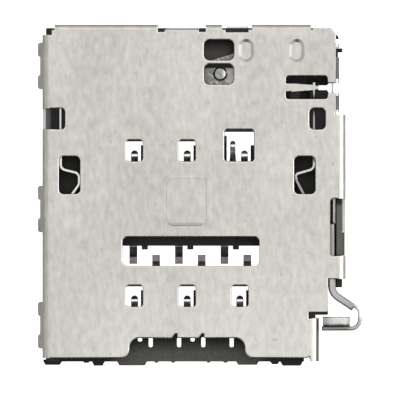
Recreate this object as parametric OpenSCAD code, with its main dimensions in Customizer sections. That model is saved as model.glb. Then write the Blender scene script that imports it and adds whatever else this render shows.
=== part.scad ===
// Tray-type card socket with a push-rod ejector, for soldering flat on a board.
// X is across the tray, Y runs from the mouth (minus) to the rear (plus), Z is up from the board.
// The origin is on the board face, on the middle line of the tray slot.

/* [Stack] */
// Thickness of the moulded floor
floor_t = 0.30; // [0.28:0.01:0.40]
// Height of the slot that the tray slides in
slot_h = 0.90; // [0.86:0.01:1.10]
// Thickness of the cover's sheet steel
sheet_t = 0.15; // [0.12:0.01:0.17]
// Gap between the cover and the moulding
fit_gap = 0.02; // [0.01:0.005:0.04]

/* [Tray slot] */
// Width of the slot between the rails
slot_w = 11.80; // [11.60:0.05:12.00]
// Y of the housing's front edge, before the mouth
mouth_y = -8.02; // [-8.20:0.02:-7.94]
// Y of the block that the tray stops at
stop_y = 5.66; // [5.60:0.02:5.80]

/* [Contacts] */
// Distance between contact columns
contact_pitch = 2.54; // [2.50:0.01:2.58]
// Y of the rear row's touching points
rear_row_y = 1.92; // [1.80:0.02:2.00]
// Distance between the two contact rows
row_gap = 7.00; // [6.90:0.02:7.10]
// Thickness of the contact strip
contact_t = 0.10; // [0.08:0.01:0.12]
// Width of a contact beam at its tip
beam_w = 0.34; // [0.28:0.01:0.36]
// Length of a contact beam from its root to the touching point
beam_l = 1.35; // [1.25:0.05:1.45]
// Height of the touching point above the floor, with no card
beam_rise = 0.42; // [0.30:0.02:0.55]
// Width of a solder tail
tail_w = 0.38; // [0.30:0.02:0.44]
// Distance between solder tails
tail_pitch = 1.10; // [1.06:0.01:1.14]
// Y of the middle of the row of solder feet
tail_y = -3.06; // [-3.12:0.01:-3.00]
// Distance of the right rear contact and the detect contact from their column
pair_shift = 0.22; // [0.18:0.01:0.24]
// Distance between that contact and the detect contact
pair_gap = 0.56; // [0.52:0.01:0.60]
// Distance of the detect contact's touching point behind the row
detect_ahead = 0.46; // [0.36:0.02:0.50]

/* [Detent springs] */
// Thickness of the spring strip
spring_t = 0.12; // [0.10:0.01:0.14]
// Thickness of the rail's lip in front of the strip
lip_t = 0.15; // [0.12:0.01:0.18]
// How far the detent reaches into the slot
detent_reach = 0.66; // [0.50:0.02:0.70]
// Y of the detent's tip
detent_y = 0.90; // [0.80:0.02:1.00]
// Y of the strip's anchored rear end
spring_rear_y = 5.45; // [5.38:0.01:5.48]

/* [Ejector] */
// Thickness of the rod's strip
rod_t = 0.19; // [0.16:0.01:0.20]
// Height of the rod's strip
rod_h = 0.92; // [0.86:0.01:0.93]
// Gap on each side of the rod in its guide
rod_gap = 0.03; // [0.02:0.01:0.05]
// Travel of the rod
rod_travel = 1.50; // [1.00:0.05:1.50]
// Y of the face at the rod's rear that pushes the lever
rod_rear_y = 6.90; // [6.86:0.01:6.94]
// Y of the middle of the pad's face
pad_y = -6.42; // [-6.48:0.02:-6.40]
// How far the rod's loop reaches out past the rod
loop_out = 1.26; // [1.20:0.02:1.36]
// X of the lever's pivot
pivot_x = 1.59; // [1.50:0.01:1.70]
// Y of the lever's pivot
pivot_y = 5.87; // [5.80:0.01:5.94]
// Thickness of the lever
lever_t = 0.25; // [0.20:0.01:0.28]
// Radius of the rivet's shank
rivet_r = 0.26; // [0.22:0.01:0.27]
// Running clearance of the lever round the rivet, and above and below it
lever_gap = 0.03; // [0.02:0.01:0.05]
// Radius of the lever's nose at the rod
nose_r = 0.27; // [0.24:0.01:0.28]

/* [Rails] */
// Width of the left rail behind its spring
left_rail_w = 0.63; // [0.55:0.01:0.70]
// Width of the right rail, from its spring to the rod
right_rail_w = 0.76; // [0.70:0.01:0.80]
// Width of the guide outside the rod
guide_w = 0.28; // [0.24:0.01:0.32]
// Width of the right rail at the mouth
mouth_rail_w = 0.28; // [0.25:0.01:0.30]

/* [Cover] */
// Y of the cover's front edge
cover_front_y = -7.83; // [-7.86:0.01:-7.76]
// Y of the rear flaps' outer face
cover_rear_y = 8.24; // [8.20:0.01:8.30]
// Outer radius of the wide bends, along the left wall and over the rod
bend_wide = 0.38; // [0.34:0.01:0.40]
// Outer radius of the tight bends
bend_tight = 0.25; // [0.22:0.01:0.27]
// Outer radius of the bend along the mouth's side wall
bend_mouth = 0.42; // [0.38:0.01:0.43]
// Outer radius of the short bends that hold the rear side wall
bend_side = 0.19; // [0.18:0.01:0.22]
// Gap under the walls where they have no foot
wall_lift = 0.10; // [0.05:0.01:0.15]
// How far the solder feet reach out
foot_out = 0.24; // [0.18:0.01:0.28]
// Half width of the notch at the mouth
notch_half = 2.78; // [2.60:0.02:2.90]
// Depth of the notch at the mouth
notch_d = 0.96; // [0.90:0.01:1.00]
// Radius of the notch's corners
notch_r = 0.44; // [0.36:0.01:0.46]
// Width of a contact window
window_w = 0.80; // [0.74:0.01:0.86]
// Length of a contact window
window_l = 1.02; // [0.96:0.01:1.08]
// Corner radius of the windows
window_r = 0.14; // [0.08:0.01:0.20]
// Depth of the pressed dimples
dimple_d = 0.11; // [0.09:0.01:0.12]

/* [Hidden] */
$fn = 48;
arc_step = 12;

STEEL = [0.79, 0.78, 0.75];
PLASTIC = [0.10, 0.10, 0.11];
TIN = [0.72, 0.71, 0.69];
SPRING_STEEL = [0.70, 0.69, 0.67];

// Heights
slot_top = floor_t + slot_h;
cover_top = slot_top + sheet_t;
sheet_mid = slot_top + sheet_t / 2;
rail_top = slot_top - fit_gap;
// Length by which cuts and hidden laps run past a face
past = 0.5;

// Places across the socket, counted outwards from the slot's middle
slot_half = slot_w / 2;
spring_in = slot_half + lip_t;
spring_mid = spring_in + spring_t / 2;
spring_slack = 0.01;
pocket_x = spring_in + spring_t + spring_slack;
left_rail_x = -(pocket_x + left_rail_w);
left_wall_x = left_rail_x - fit_gap - sheet_t;
rail_x = pocket_x + right_rail_w;
rod_in = rail_x + rod_gap;
rod_mid = rod_in + rod_t / 2;
rod_out = rod_in + rod_t;
guide_in = rod_out + rod_gap;
guide_out = guide_in + guide_w;
bay_wall_x = guide_out + fit_gap + sheet_t;
rear_wall_gap = 0.02;
rear_side_x = rod_out + rear_wall_gap + sheet_t;
mouth_side_x = slot_half + mouth_rail_w + fit_gap + sheet_t;
shelf_in = 0.15;
shelf_x = rail_x - shelf_in;

// Places along the socket
front_row_y = rear_row_y - row_gap;
housing_rear_y = cover_rear_y - sheet_t - fit_gap;
bay_y = [-4.02, 3.90];
left_wall_y = [cover_front_y, 7.74];
rear_side_y = [4.02, 7.32];
gate_y = [4.94, 5.42];
port_y = [-2.91, -0.15];
mouth_side_in = 0.02;
mouth_side_y = [mouth_y + mouth_side_in, -5.92];
guide_y = [-4.43, 3.76];
stop_block_y = [-5.75, -5.45];

// Contact columns: rear row, front row, and their tails
columns = [-contact_pitch, 0, contact_pitch];
rear_xs = [columns[0], columns[1], columns[2] + pair_shift];
detect_x = rear_xs[2] - pair_gap;
detect_y = rear_row_y + detect_ahead;
first_tail_x = -2.60;
rear_tails = [for (i = [0:2]) first_tail_x + 2 * i * tail_pitch];
front_tails = [for (i = [0:2]) first_tail_x + (2 * i + 1) * tail_pitch];
strip_cover = 0.03;
strip_mid = floor_t - strip_cover - contact_t / 2;
solder_mid = contact_t / 2;

// Ejector heights and the lever's corners, at rest with the rod pushed in
rod_z = 0.17;
rod_top = rod_z + rod_h;
rod_floor = rod_z - rod_gap;
lever_z = floor_t + lever_gap;
hook_in = 0.50;
nose_in = 0.36;
nose = [rod_mid - nose_in, rod_rear_y + lever_gap + nose_r];
neck_step = 0.08;
neck_r = nose_r - neck_step;
elbow = [3.20, 6.75];
elbow_r = 0.38;
hub_r = 0.75;
tip = [-2.40, 4.75];
tip_r = 0.30;

// Plane geometry
function left_of(d) = [-d[1], d[0]];
function unit(v) = v / norm(v);
function turn(d, e) = atan2(d[0] * e[1] - d[1] * e[0], d * e);
function reverse(v) = [for (i = [len(v) - 1:-1:0]) v[i]];
function arc_points(c, r, a, b) = let (n = max(2, ceil(abs(b - a) / arc_step)))
    [for (i = [0:n]) c + r * [cos(a + (b - a) * i / n), sin(a + (b - a) * i / n)]];

// One side of a strip that follows corner points p, q, s with a bend of radius r at q
function bend_points(p, q, s, r, off) = let (d = unit(q - p), phi = turn(d, unit(s - q)), way = sign(phi),
    c = q - d * r * tan(abs(phi) / 2) + left_of(d) * r * way, a = atan2(d[1], d[0]) - 90 * way)
    arc_points(c, r - way * off, a, a + phi);
function side_points(v, radii, off) = let (n = len(v)) concat(
    [v[0] + off * left_of(unit(v[1] - v[0]))],
    [for (i = [1:n - 2]) each bend_points(v[i - 1], v[i], v[i + 1], radii[i - 1], off)],
    [v[n - 1] + off * left_of(unit(v[n - 1] - v[n - 2]))]);

// Bent strip of thickness t seen on edge, along the middle line through points v
module strip(v, radii, t) {
    polygon(concat(side_points(v, radii, t / 2), reverse(side_points(v, radii, -t / 2))));
}

// Rectangle between two corners, with rounded corners
module round_box(a, b, r) {
    polygon(concat(
        arc_points([b[0] - r, b[1] - r], r, 0, 90), arc_points([a[0] + r, b[1] - r], r, 90, 180),
        arc_points([a[0] + r, a[1] + r], r, 180, 270), arc_points([b[0] - r, a[1] + r], r, 270, 360)));
}

// Rectangle between two corners
module box2(a, b) { translate(a) square(b - a); }

// Solid between two corners
module box3(a, b) { translate(a) cube(b - a); }

// Profile of X and Z carried along Y, and profile of Y and Z carried along X
module along_y(y) { translate([0, y[1], 0]) rotate([90, 0, 0]) linear_extrude(y[1] - y[0]) children(); }
module along_x(x) { translate([x[0], 0, 0]) rotate([90, 0, 90]) linear_extrude(x[1] - x[0]) children(); }

// Flat shape from one height to another
module slab(z) { translate([0, 0, z[0]]) linear_extrude(z[1] - z[0]) children(); }

// Straight web between two round ends, touching both along their sides
module link(a, ra, b, rb) {
    d = unit(b - a);
    lean = asin((ra - rb) / norm(b - a));
    left = left_of(d) * cos(lean) + d * sin(lean);
    right = -left_of(d) * cos(lean) + d * sin(lean);
    polygon([a + ra * left, a + ra * right, b + rb * right, b + rb * left]);
}

// COVER

// Wall folded down from the cover's plate at x, on the side given by way
module side_wall(x, way, bend, y, bottom) {
    mid_x = x - way * sheet_t / 2;
    along_y(y) strip([[x - way * (bend + past), sheet_mid], [mid_x, sheet_mid], [mid_x, bottom]],
        [bend - sheet_t / 2], sheet_t);
}

// Flap folded down at the rear
module rear_flap(x) {
    mid_y = cover_rear_y - sheet_t / 2;
    along_x(x) strip([[cover_rear_y - bend_tight - past, sheet_mid], [mid_y, sheet_mid], [mid_y, wall_lift]],
        [bend_tight - sheet_t / 2], sheet_t);
}

// Solder foot of the left wall: two lobes and a shorter web between them
foot_l = 2.26;
lobe_l = 0.70;
web_out = 0.13;
web_lap = 0.05;
web_r = 0.02;
foot_bend = 0.14;
foot_ys = [6.26, -0.65, -6.26];
lobe_r = 0.13;
module foot_part(y, reach, r) {
    mid_x = left_wall_x + sheet_t / 2;
    intersection() {
        along_y(y) strip([[mid_x, cover_top / 2], [mid_x, sheet_t / 2], [left_wall_x - reach, sheet_t / 2]],
            [foot_bend], sheet_t);
        slab([-past, cover_top]) round_box([left_wall_x - reach, y[0]], [left_wall_x + past, y[1]], r);
    }
}
module left_foot(y) {
    foot_part([y - foot_l / 2, y - foot_l / 2 + lobe_l], foot_out, lobe_r);
    foot_part([y - foot_l / 2 + lobe_l - web_lap, y + foot_l / 2 - lobe_l + web_lap], web_out, web_r);
    foot_part([y + foot_l / 2 - lobe_l, y + foot_l / 2], foot_out, lobe_r);
}

// Flat plate, before its folds
corner_cut = 0.28;
tab_edge_y = cover_rear_y - sheet_t;
flap_rear_y = cover_rear_y - bend_tight;
relief = 0.06;
relief_cut = [0.30, 0.10];
flaps = [[-6.39, -1.41], [0.88, 1.68], [3.12, 5.96]];
corner_bare = [0.14, 0.10];
side_inset = 0.16;
module plate_outline() {
    left = left_wall_x + bend_wide;
    bay = bay_wall_x - bend_wide;
    rear = rear_side_x - bend_side;
    side = rear_side_x - side_inset;
    polygon([
        [left, cover_front_y], [mouth_side_x - bend_mouth, cover_front_y],
        [mouth_side_x - bend_mouth, mouth_side_y[1]], [shelf_x, mouth_side_y[1]],
        [shelf_x, bay_y[0]], [bay, bay_y[0]], [bay, bay_y[1]], [rear, bay_y[1]],
        [rear, rear_side_y[1]], [side, rear_side_y[1]], [side, tab_edge_y - corner_cut],
        [side - corner_cut, tab_edge_y], [flaps[2][1] + relief, tab_edge_y],
        [flaps[2][1] + relief, flap_rear_y], [flaps[0][0], flap_rear_y],
        [flaps[0][0], housing_rear_y] - corner_bare, [left + relief, left_wall_y[1]],
        [left, left_wall_y[1]]]);
}

// Relief cuts beside the first two flaps, and the gap over the housing's rear rib
rib_gap = [1.87, 2.93];
rib_gap_y = 7.87;
module rear_cuts() {
    box2([flaps[0][1], flap_rear_y - relief_cut[1]], [flaps[0][1] + relief_cut[0], cover_rear_y]);
    box2([flaps[1][0] - relief_cut[0], flap_rear_y - relief_cut[1]], [flaps[1][0], cover_rear_y]);
    box2([rib_gap[0], rib_gap_y], [rib_gap[1], cover_rear_y]);
}

// Relief at the front end of the mouth's side wall
fold_relief = [0.10, 0.06];
module fold_relief_cut() {
    fold_x = mouth_side_x - bend_mouth;
    box2([fold_x - 2 * past, mouth_side_y[0] - past], [fold_x, cover_front_y]);
    box2([fold_x - fold_relief[0], mouth_side_y[0] - past], [fold_x, cover_front_y + fold_relief[1]]);
}

// Front notch with rounded inner corners and rounded shoulders
module mouth_notch() {
    deep_y = cover_front_y + notch_d;
    round_box([-notch_half, cover_front_y - notch_d], [notch_half, deep_y], notch_r);
    for (side = [-1, 1])
        polygon(concat([[side * (notch_half - notch_r), cover_front_y - past],
            [side * (notch_half - notch_r), cover_front_y + notch_r],
            [side * notch_half, cover_front_y + notch_r]],
            arc_points([side * (notch_half + notch_r), cover_front_y + notch_r], notch_r,
                side > 0 ? 180 : 0, side > 0 ? 270 : -90),
            [[side * (notch_half + notch_r), cover_front_y - past]]));
}

// Small relief nicks beside the middle front contact
nick_w = 0.30;
nick_d = 0.20;
nick_xs = [-0.49, 0.80];
module notch_nicks() {
    deep_y = cover_front_y + notch_d;
    for (x = nick_xs)
        polygon([[x - nick_w, deep_y - relief], [x, deep_y - relief], [x, deep_y + nick_d],
            [x - nick_w / 3, deep_y + nick_d]]);
}

// Windows over the contacts, each round its touching point
window_shift = 0.24;
wide_window = [1.79, 3.22];
wide_window_rear = 3.18;
module contact_windows() {
    half = [window_w / 2, window_l / 2];
    spots = concat([for (i = [0, 1]) [columns[i], rear_row_y + window_shift]],
        [for (x = columns) [x, front_row_y + window_shift]]);
    for (c = spots) round_box(c - half, c + half, window_r);
    wide_front = rear_row_y + window_shift - half[1];
    round_box([wide_window[0], wide_front], [wide_window[1], wide_window_rear], window_r);
}

// Long opening over the solder tails
solder_slot_x = [-3.11, 3.47];
solder_slot_front = 0.32;
solder_slot_rear = 1.06;
solder_slot_y = [tail_y - solder_slot_front, tail_y + solder_slot_rear];
hole_r = 0.22;
module solder_slot() {
    round_box([solder_slot_x[0], solder_slot_y[0]], [solder_slot_x[1], solder_slot_y[1]], hole_r);
}

// Holes over the detent springs: one pair at the detents, one at the anchors
detent_hole_in = 0.95;
detent_hole_out = 0.06;
detent_hole_front = 0.82;
detent_hole_rear = 0.98;
anchor_hole_in = 0.22;
anchor_hole_out = 0.55;
detent_hole_x = [spring_mid - detent_hole_in, spring_mid + detent_hole_out];
detent_hole_y = [detent_y - detent_hole_front, detent_y + detent_hole_rear];
anchor_hole_x = [spring_mid - anchor_hole_in, spring_mid + anchor_hole_out];
anchor_hole_y = [3.19, 4.20];
anchor_left_r = 0.18;
module spring_holes() {
    for (side = [0, 1]) mirror([side, 0])
        round_box([detent_hole_x[0], detent_hole_y[0]], [detent_hole_x[1], detent_hole_y[1]], hole_r);
    round_box([anchor_hole_x[0], anchor_hole_y[0]], [anchor_hole_x[1], anchor_hole_y[1]], hole_r);
    round_box([left_wall_x - past, anchor_hole_y[0]], [-anchor_hole_x[0], anchor_hole_y[1]], anchor_left_r);
}

// Two windows over the lever, the front one on its rivet
lever_window = [1.44, 0.98];
lever_window_gap = 1.17;
lever_window_shift = [-0.06, -0.03];
lever_window_r = 0.26;
module lever_windows() {
    for (step = [0, lever_window_gap]) {
        c = [pivot_x, pivot_y + step] + lever_window_shift;
        round_box(c - lever_window / 2, c + lever_window / 2, lever_window_r);
    }
}

// Slot round the spring tongue, open to the rear side wall
tongue_back = 1.35;
tongue_over = 0.21;
tongue_x = [spring_mid - tongue_back, spring_mid + tongue_over];
tongue_mid_y = 5.20;
tongue_root = 0.43;
tongue_tip = 0.24;
tongue_drop = 0.12;
tongue_flat = 0.30;
tongue_bend = 1.0;
tongue_slot = [4.66, 5.75];
tongue_slot_past = 0.65;
tongue_slot_end = spring_mid + tongue_slot_past;
tongue_slot_r = 0.13;
gate_r = 0.12;
module tongue_cut() {
    round_box([tongue_x[0], tongue_slot[0]], [tongue_slot_end, tongue_slot[1]], tongue_slot_r);
    round_box([tongue_slot_end - past, gate_y[0]], [rear_side_x + past, gate_y[1]], gate_r);
}
module tongue() {
    flat_x = tongue_x[0] + tongue_flat;
    long = tongue_x[1] - tongue_x[0];
    root = tongue_root / 2;
    tip = tongue_tip / 2;
    intersection() {
        along_y(tongue_slot) strip([[tongue_x[0] - past, sheet_mid], [flat_x, sheet_mid],
            [tongue_x[1], sheet_mid - tongue_drop]], [tongue_bend], sheet_t);
        slab([0, cover_top + past]) translate([tongue_x[0], tongue_mid_y]) polygon([
            [-past, -root], [0, -root], [long - tongue_tip, -tip], [long, -tip / 2],
            [long, tip / 2], [long - tongue_tip, tip], [0, root], [-past, root]]);
    }
}

// Pressed form: a sunk rectangle with round corners and sloping sides, its wide mouth at z = 0
module pressed_form(size, r, slope, depth) {
    half = size / 2;
    core = half - [r, r];
    flank = [[0, -depth], [r - slope, -depth], [r, 0], [0, 0]];
    for (i = [0:3]) let (sx = i == 0 || i == 3 ? 1 : -1, sy = i < 2 ? 1 : -1)
        translate([sx * core[0], sy * core[1], 0]) rotate(90 * i) rotate_extrude(angle = 90) polygon(flank);
    if (core[1] > 0) along_y([-core[1], core[1]]) polygon(pressed_section(half[0], slope, depth));
    if (core[0] > 0) along_x([-core[0], core[0]]) polygon(pressed_section(half[1], slope, depth));
}
function pressed_section(half, slope, depth) =
    [[-half, 0], [half, 0], [half - slope, -depth], [slope - half, -depth]];

// Two sunk dimples over the lever, and a shallow raised panel in the middle of the plate
dimple = [0.74, 1.12];
dimple_slope = 0.15;
dimples = [[2.84, 6.98], [5.28, 6.98]];
module dimple_form() { pressed_form(dimple, dimple[0] / 2, dimple_slope, dimple_d); }
panel = [1.88, 2.28];
panel_mid = [-0.06, -0.32];
panel_r = 0.36;
panel_slope = 0.025;
panel_d = 0.018;
module panel_form() {
    translate([panel_mid[0], panel_mid[1], 0])
        mirror([0, 0, 1]) pressed_form(panel, panel_r, panel_slope, panel_d);
}

// Opening over the rod, which cuts the side wall through in its front part
port_wall_y = -1.75;
port_in = 0.05;
port_r = 0.18;
module rod_port() {
    slab([slot_top - past, cover_top + past])
        round_box([rail_x - port_in, port_y[0]], [bay_wall_x + past, port_y[1]], port_r);
    box3([guide_out, port_y[0], -past], [bay_wall_x + past, port_wall_y, cover_top + past]);
}

// Slit between the mouth's side wall and the plate over the rod
slit_l = 0.29;
slit_in = 0.04;

// Windows in the walls that snap over the housing's lugs, and the gap for the rear side lug
lug_l = 0.60;
lug_z = [0.45, 0.80];
lug_out = 0.12;
left_lug_ys = [2.2, -3.6];
mouth_lug_y = -7.0;
side_lug = [6.91, 7.11];
side_lug_z = 0.05;
side_lug_out = 0.17;
side_step = [6.68, 0.05];
side_slits = [[4.12, 4.80], [5.62, 7.14]];
side_slit_in = 0.02;
side_wall_top = 1.05;
module rear_side_slits() {
    for (y = side_slits)
        box3([rear_side_x - sheet_t - side_slit_in, y[0], side_wall_top],
            [rear_side_x + past, y[1], cover_top + past]);
}
module lug_windows() {
    for (y = left_lug_ys)
        box3([left_wall_x - past, y - lug_l / 2 - fit_gap, lug_z[0] - fit_gap],
            [left_wall_x + past, y + lug_l / 2 + fit_gap, lug_z[1] + fit_gap]);
    box3([mouth_side_x - sheet_t - fit_gap, mouth_lug_y - lug_l / 2 - fit_gap, lug_z[0] - fit_gap],
        [mouth_side_x + past, mouth_lug_y + lug_l / 2 + fit_gap, lug_z[1] + fit_gap]);
    box3([rear_side_x - sheet_t - fit_gap, side_step[0] - fit_gap, -past],
        [rear_side_x + past, side_lug[1] + fit_gap, cover_top + past]);
}

module cover_shell() {
    window_z = [slot_top - past, cover_top + past];
    color(STEEL) {
        difference() {
            union() {
                slab([slot_top, cover_top]) plate_outline();
                side_wall(left_wall_x, -1, bend_wide, left_wall_y, wall_lift);
                for (y = foot_ys) left_foot(y);
                side_wall(rear_side_x, 1, bend_side, rear_side_y, wall_lift);
                side_wall(bay_wall_x, 1, bend_wide, bay_y, 0);
                side_wall(mouth_side_x, 1, bend_mouth, mouth_side_y, 0);
                for (x = flaps) rear_flap(x);
                for (c = dimples) translate([c[0], c[1], slot_top]) dimple_form();
                translate([0, 0, cover_top]) panel_form();
            }
            slab(window_z) {
                rear_cuts();
                fold_relief_cut();
                mouth_notch();
                notch_nicks();
                contact_windows();
                solder_slot();
                spring_holes();
                lever_windows();
                tongue_cut();
                box2([slot_half - slit_in, mouth_side_y[1]], [bay_wall_x, mouth_side_y[1] + slit_l]);
            }
            box3([tongue_slot_end, gate_y[0], wall_lift - past], [rear_side_x + past, gate_y[1], cover_top]);
            for (c = dimples) translate([c[0], c[1], cover_top]) dimple_form();
            translate([0, 0, slot_top]) panel_form();
            rod_port();
            rear_side_slits();
            lug_windows();
        }
        tongue();
    }
}

// HOUSING

// Front edge with the teeth of the mouth, as middle, width and depth of each tooth
teeth = [[-6.50, 0.90, 0.16], [-4.29, 0.62, 0.20], [-2.66, 1.44, 0.19], [2.91, 1.10, 0.16],
    [4.23, 0.46, 0.13], [5.04, 1.08, 0.20]];
tooth_slope = 0.10;
nibs = [[-4.87, 0.32], [-1.48, 0.22], [-0.68, 0.22], [1.03, 0.20], [1.85, 0.24]];
nib_d = 0.06;
nib_slope = 0.05;
module tooth(x, w, d, slope) {
    polygon([[x - w / 2, mouth_y + slope], [x + w / 2, mouth_y + slope], [x + w / 2, mouth_y],
        [x + w / 2 - slope, mouth_y - d], [x - w / 2 + slope, mouth_y - d], [x - w / 2, mouth_y]]);
}
module mouth_teeth() {
    for (t = teeth) tooth(t[0], t[1], t[2], tooth_slope);
    for (t = nibs) tooth(t[0], t[1], nib_d, nib_slope);
}

// Outline of the floor
corner_bump = [7.55, 7.68];
rear_x = rear_side_x - sheet_t - fit_gap;
mouth_x = mouth_side_x - sheet_t - fit_gap;
bite_l = 0.26;
bite_x = [slot_half - bite_l, slot_half];
bite_in = 0.08;
bite_y = cover_front_y + bite_in;
rail_out = 0.06;
rail_front_y = cover_front_y - rail_out;
module floor_outline() {
    polygon([[left_rail_x, mouth_y], [bite_x[0], mouth_y], [bite_x[0], bite_y], [bite_x[1], bite_y],
        [bite_x[1], rail_front_y], [mouth_x, rail_front_y], [mouth_x, stop_block_y[0]],
        [shelf_x, stop_block_y[0]], [shelf_x, guide_y[0]],
        [guide_out, guide_y[0]], [guide_out, guide_y[1]], [rear_x, guide_y[1]],
        [rear_x, housing_rear_y - corner_cut], [rear_x - corner_cut, housing_rear_y],
        [left_rail_x, housing_rear_y]]);
    mouth_teeth();
    polygon([[rear_x - corner_cut, corner_bump[0]], [rear_side_x - fit_gap, corner_bump[0]],
        [rear_side_x - fit_gap, corner_bump[1]], [rear_x, housing_rear_y - corner_cut],
        [rear_x - corner_cut, housing_rear_y - corner_cut]]);
}

// Rails in plan: the slot is left between them
rail_lead = 0.30;
left_block_x = -3.10;
rear_wall_t = 0.22;
rear_wall_y = housing_rear_y - rear_wall_t;
mouth_lip = 0.05;
end_gap = 0.05;
hook_room = 0.10;
module left_rail() {
    lead_y = mouth_y + 2 * rail_lead;
    polygon([[left_rail_x, mouth_y], [-slot_half - rail_lead, mouth_y], [-slot_half, lead_y],
        [-slot_half, stop_y], [left_block_x, stop_y], [left_block_x, rear_wall_y],
        [rear_x - corner_cut, rear_wall_y], [rear_x - corner_cut, housing_rear_y],
        [left_rail_x, housing_rear_y]]);
}
hook_x = rod_mid - hook_in - rod_gap;
module right_rail() {
    hook_y = rod_rear_y - rod_t - rod_travel - hook_room;
    end_y = spring_rear_y - end_gap;
    polygon([[slot_half, stop_block_y[0]], [shelf_x, stop_block_y[0]], [shelf_x, guide_y[0]],
        [rail_x, guide_y[0]], [rail_x, hook_y], [hook_x, hook_y], [hook_x, end_y], [slot_half, end_y]]);
    polygon([[slot_half, mouth_y + 2 * rail_lead], [mouth_x - mouth_lip, rail_front_y],
        [mouth_x, rail_front_y], [mouth_x, stop_block_y[1]], [slot_half, stop_block_y[1]]]);
}

// Chamfers of the top edges, which clear the inside of the cover's bends
chamfer_share = 0.7;
module top_chamfers() {
    wide = bend_wide - sheet_t - fit_gap;
    tight = bend_tight - sheet_t - fit_gap;
    mouth = chamfer_share * (bend_mouth - sheet_t);
    along_y([mouth_y - past, housing_rear_y + past])
        polygon([[left_rail_x, rail_top - wide], [left_rail_x + wide, rail_top], [left_rail_x, rail_top]]);
    along_y([mouth_y - past, stop_block_y[0]])
        polygon([[mouth_x, rail_top - mouth], [mouth_x, rail_top], [mouth_x - mouth, rail_top]]);
    along_x([left_rail_x - past, rear_x])
        polygon([[housing_rear_y, rail_top - tight], [housing_rear_y, rail_top],
            [housing_rear_y - tight, rail_top]]);
}

// Room for the detent springs: a slot for the anchored part and a pocket for the sprung part
pocket_front = 1.50;
pocket_rear = 1.70;
pocket_y = [detent_y - pocket_front, detent_y + pocket_rear];
module spring_room() {
    for (side = [-1, 1]) {
        xs = [side * (spring_in - spring_slack), side * pocket_x];
        box2([min(xs), pocket_y[0]], [max(xs), spring_rear_y + spring_slack]);
        xp = [side * (slot_half - past), side * pocket_x];
        box2([min(xp), pocket_y[0]], [max(xp), pocket_y[1]]);
    }
}

// Openings in the floor under the contacts, wider past the tip
opening_x = [-0.42, 0.30];
opening_wide = 0.46;
opening_step = 0.51;
opening_past = 0.69;
root_past = 0.06;
pair_open = 0.30;
detect_open = [0.29, 0.40];
module contact_opening(c) {
    box2(c + [opening_x[0], -beam_l - root_past], c + [opening_x[1], opening_past]);
    box2(c + [opening_x[0], opening_step], c + [opening_wide, opening_past]);
}
module contact_openings() {
    for (i = [0, 1]) contact_opening([columns[i], rear_row_y]);
    for (x = columns) contact_opening([x, front_row_y]);
    end_y = detect_y + opening_past;
    box2([rear_xs[2] - pair_open, rear_row_y - beam_l - root_past], [rear_xs[2] + pair_open, end_y]);
    box2([detect_x - detect_open[0], detect_y - beam_l - root_past], [rear_xs[2], end_y]);
    box2([detect_x - detect_open[1], detect_y + opening_step], [rear_xs[2], end_y]);
    box2([rear_xs[2], rear_row_y + opening_step], [rear_xs[2] + opening_wide, end_y]);
}

// Solder window in the floor, with small nubs beside the rear tails
solder_window_front = 0.46;
solder_window_rear = 0.63;
solder_window_y = [tail_y - solder_window_front, tail_y + solder_window_rear];
nub = [0.30, 0.18];
solder_margin = 0.70;
module solder_window() {
    difference() {
        box2([first_tail_x - solder_margin, solder_window_y[0]],
            [front_tails[2] + solder_margin, solder_window_y[1]]);
        for (x = rear_tails) box2([x + tail_pitch / 2 - nub[0] / 2, solder_window_y[1] - nub[1]],
            [x + tail_pitch / 2 + nub[0] / 2, solder_window_y[1] + past]);
    }
}

// Holes left in the floor at the mouth, where the contact strips were cut apart
bar_w = 0.20;
bar_r = 0.09;
bar_y = [-7.33, -6.84];
bar_steps = [-0.395, 0.775];
dot_r = 0.11;
dot_step = 0.26;
dot_y = -6.95;
module cut_holes() {
    for (x = columns, s = bar_steps)
        round_box([x + s - bar_w / 2, bar_y[0]], [x + s + bar_w / 2, bar_y[1]], bar_r);
    for (x = columns) translate([x + dot_step, dot_y]) circle(dot_r);
}

// Slot through the floor under the tongue's tip
floor_slit_w = 0.24;
floor_slit = [tongue_mid_y - floor_slit_w / 2, tongue_mid_y + floor_slit_w / 2];
module floor_gate() {
    box2([tongue_x[1], floor_slit[0]], [rear_side_x + past, floor_slit[1]]);
    round_box([tongue_slot_end, gate_y[0]], [rear_side_x + past, gate_y[1]], gate_r);
}

// Lugs that the cover snaps over, and the one at the rear side
module lugs() {
    for (y = left_lug_ys)
        along_y([y - lug_l / 2, y + lug_l / 2]) polygon([[left_rail_x + past, lug_z[0]],
            [left_rail_x + past, lug_z[1]], [left_rail_x - lug_out, lug_z[1]], [left_rail_x, lug_z[0]]]);
    along_y([mouth_lug_y - lug_l / 2, mouth_lug_y + lug_l / 2]) polygon([[mouth_x - mouth_rail_w, lug_z[0]],
        [mouth_x, lug_z[0]], [mouth_x + lug_out, lug_z[1]], [mouth_x - mouth_rail_w, lug_z[1]]]);
    box3([rear_side_x - past, side_lug[0], side_lug_z], [rear_side_x + side_lug_out, side_lug[1], floor_t]);
    box3([rear_side_x - past, side_step[0], side_lug_z], [rear_side_x - side_step[1], side_lug[1], floor_t]);
}

// Groove for the rod, and the step cut in the rail for the rod's tab
rod_end_room = 0.10;
tab_room = [0.08, 0.15];
module rod_room() {
    box3([rail_x, guide_y[0] - past, rod_floor], [guide_in, rod_rear_y + rod_end_room, cover_top]);
    box3([shelf_x - tab_room[0], stop_block_y[0] - past, shelf_z - rod_gap],
        [rail_x + rod_gap, tab_y + tab_room[1], cover_top]);
}

// Recess in the right rail's rear end, under the tip of the cover's tongue
tongue_room = 0.08;
module tongue_recess() {
    box3([slot_half - past, tongue_mid_y - tongue_tip / 2 - tongue_room, slot_top - tongue_drop - fit_gap],
        [tongue_x[1] + tongue_room, spring_rear_y, cover_top]);
}

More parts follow.
